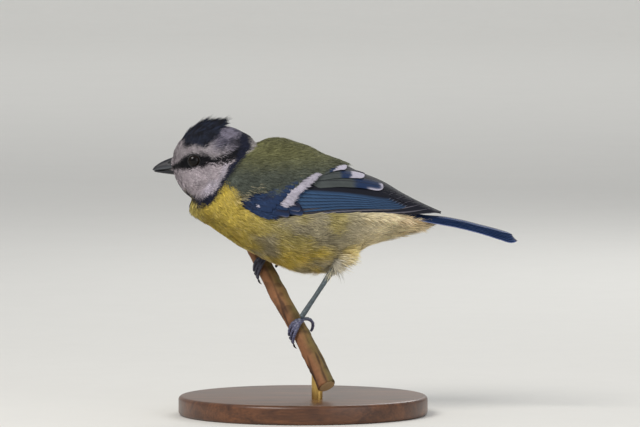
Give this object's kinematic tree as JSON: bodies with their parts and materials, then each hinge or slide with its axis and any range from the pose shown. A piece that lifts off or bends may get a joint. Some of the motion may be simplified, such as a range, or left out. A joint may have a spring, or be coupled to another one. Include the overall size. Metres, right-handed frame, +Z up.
{
  "type": "blue tit, life-size model on a perch",
  "caption": "Life-size model of a blue tit in profile with raised crest, gripping a short sloping twig on a round display base.",
  "frame": {"origin": "centre of the base's underside, which rests on the surface", "axes": "+X from the bill towards the tail, -Y the bird's left side, +Z up from the surface"},
  "size_m": [0.1139, 0.078, 0.0936],
  "materials": {
    "body_plumage": "matte feathers, muted yellow below and olive grey above",
    "collar_plumage": "matte feathers, dark navy with a pale nape spot",
    "head_plumage": "matte feathers, pale cheeks, dark eye stripe and dark blue grey crown",
    "bill_horn": "dark horn, satin",
    "eye": "glossy near black",
    "wing_feathers": "feather vanes, slate blue with a white bar and pale edges",
    "tail_feathers": "feather vanes, blue with dark edges",
    "leg_plumage": "short loose feathers, grey white",
    "leg_scales": "blue grey scales, satin",
    "claw_horn": "dark horn, satin",
    "bark": "thin bark, orange brown and olive",
    "brass": "brushed",
    "wood": "dark stained, satin lacquer"
  },
  "bodies": {
    "root": {"torso": "body_plumage", "neck": "collar_plumage", "head": "head_plumage", "bill_upper": "bill_horn", "bill_lower": "bill_horn", "eye_left": "eye", "eye_right": "eye", "wing_left": "wing_feathers", "wing_right": "wing_feathers", "tail": "tail_feathers", "thigh_left": "leg_plumage", "thigh_right": "leg_plumage", "tarsus_left": "leg_scales", "tarsus_right": "leg_scales", "foot_left": "leg_scales", "foot_right": "leg_scales", "perch": "bark", "stand_rod": "brass", "stand_base": "wood", "claw_left_1": "claw_horn", "claw_left_2": "claw_horn", "claw_left_3": "claw_horn", "claw_left_4": "claw_horn", "claw_right_1": "claw_horn", "claw_right_2": "claw_horn", "claw_right_3": "claw_horn", "claw_right_4": "claw_horn"}
  },
  "joints": []
}
